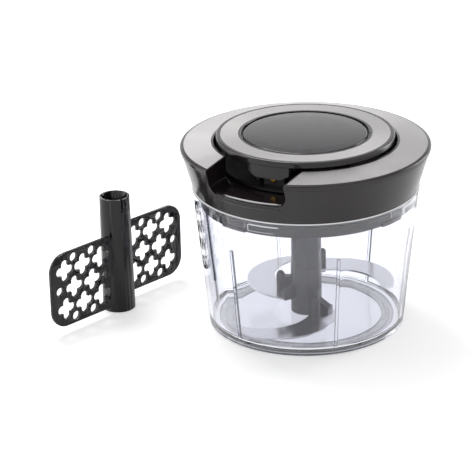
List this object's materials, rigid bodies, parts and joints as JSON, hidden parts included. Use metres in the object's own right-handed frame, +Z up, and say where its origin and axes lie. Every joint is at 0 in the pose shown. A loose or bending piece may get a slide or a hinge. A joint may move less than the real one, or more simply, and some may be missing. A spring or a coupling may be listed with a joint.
{
  "type": "hand crank food chopper",
  "caption": "Hand crank food chopper: clear tapered bowl with curved blades on a drive hub, black geared lid with a slide-out crank plate and palm knob, and a loose perforated mixing paddle.",
  "frame": {"origin": "on the bowl's axis, on the surface that the bowl stands on", "axes": "+Z up along the bowl's axis, +Y away from the viewer who sees the lid's notch front left, +X to that viewer's right; the loose paddle stands on the -X side"},
  "size_m": [0.2443, 0.16, 0.1273],
  "materials": {
    "clear_bowl": "clear",
    "black_shell": "gloss",
    "black_knob": "gloss",
    "black_satin": "satin",
    "brushed_trim": "brushed",
    "blade_steel": "satin",
    "plain_steel": "bright",
    "grey_drive": "satin",
    "gear_acetal": "satin",
    "brass_rod": "polished",
    "clear_seal": "matte",
    "paddle_black": "gloss"
  },
  "bodies": {
    "bowl_body": {"bowl": "clear_bowl", "foot_ring": "clear_seal", "centre_pin": "plain_steel"},
    "blade_body": {"blade_hub": "grey_drive", "blade_shaft": "grey_drive", "hub_bush": "gear_acetal", "blade_high": "blade_steel", "blade_mid": "blade_steel", "blade_low": "blade_steel"},
    "seal_body": {"lid_seal": "clear_seal"},
    "lid_body": {"lid_shell": "black_shell", "lid_trim_ring": "brushed_trim", "lid_base": "black_satin", "base_screws": "plain_steel", "planet_pins": "plain_steel", "shaft_bush": "brass_rod", "rotor_bush": "gear_acetal"},
    "rotor_body": {"rotor": "black_satin", "ring_gear": "gear_acetal", "ring_gear_screws": "plain_steel", "guide_rod": "brass_rod"},
    "crank_body": {"crank_plate": "black_shell", "crank_trim_ring": "brushed_trim", "slide_carriage": "black_satin", "carriage_screws": "plain_steel"},
    "knob_body": {"palm_knob": "black_knob", "knob_washer": "plain_steel", "knob_screw": "plain_steel"},
    "sun_body": {"sun_gear": "gear_acetal", "drive_peg": "grey_drive", "peg_screw": "plain_steel"},
    "planet_body_1": {"planet_gear_1": "gear_acetal"},
    "planet_body_2": {"planet_gear_2": "gear_acetal"},
    "planet_body_3": {"planet_gear_3": "gear_acetal"},
    "paddle_body": {"mixing_paddle": "paddle_black"}
  },
  "joints": [
    {"name": "lid_lift", "type": "slide", "parent": "bowl_body", "child": "seal_body", "axis": [0, 0, 1], "range_m": [0, 0.1]},
    {"name": "lid_twist", "type": "hinge", "parent": "seal_body", "child": "lid_body", "pos_m": [0, 0, 0.088], "axis": [0, 0, 1], "range_deg": [0, 20]},
    {"name": "crank_spin", "type": "hinge", "parent": "lid_body", "child": "rotor_body", "pos_m": [0, 0, 0.103], "axis": [0, 0, 1], "continuous": true},
    {"name": "crank_slide", "type": "slide", "parent": "rotor_body", "child": "crank_body", "axis": [-0.4305, -0.9026, 0], "range_m": [0, 0.046]},
    {"name": "knob_spin", "type": "hinge", "parent": "crank_body", "child": "knob_body", "pos_m": [0, 0, 0.1234], "axis": [0, 0, 1], "continuous": true},
    {"name": "sun_spin", "type": "hinge", "parent": "lid_body", "child": "sun_body", "pos_m": [0, 0, 0.088], "axis": [0, 0, 1], "continuous": true},
    {"name": "planet_spin_1", "type": "hinge", "parent": "lid_body", "child": "planet_body_1", "pos_m": [0.02396, 0.01678, 0.094], "axis": [0, 0, 1], "continuous": true},
    {"name": "planet_spin_2", "type": "hinge", "parent": "lid_body", "child": "planet_body_2", "pos_m": [-0.02651, 0.01236, 0.094], "axis": [0, 0, 1], "continuous": true},
    {"name": "planet_spin_3", "type": "hinge", "parent": "lid_body", "child": "planet_body_3", "pos_m": [0.00255, -0.02914, 0.094], "axis": [0, 0, 1], "continuous": true},
    {"name": "blade_spin", "type": "hinge", "parent": "bowl_body", "child": "blade_body", "pos_m": [0, 0, 0.02], "axis": [0, 0, 1], "continuous": true},
    {"name": "paddle_lift", "type": "slide", "parent": "bowl_body", "child": "paddle_body", "axis": [0, 0, 1], "range_m": [0, 0.1]}
  ],
  "couplings": [
    {"joint": "sun_spin", "follows": "crank_spin", "ratio": -3.3333},
    {"joint": "blade_spin", "follows": "crank_spin", "ratio": -3.3333},
    {"joint": "planet_spin_1", "follows": "crank_spin", "ratio": 2.8571},
    {"joint": "planet_spin_2", "follows": "crank_spin", "ratio": 2.8571},
    {"joint": "planet_spin_3", "follows": "crank_spin", "ratio": 2.8571}
  ]
}
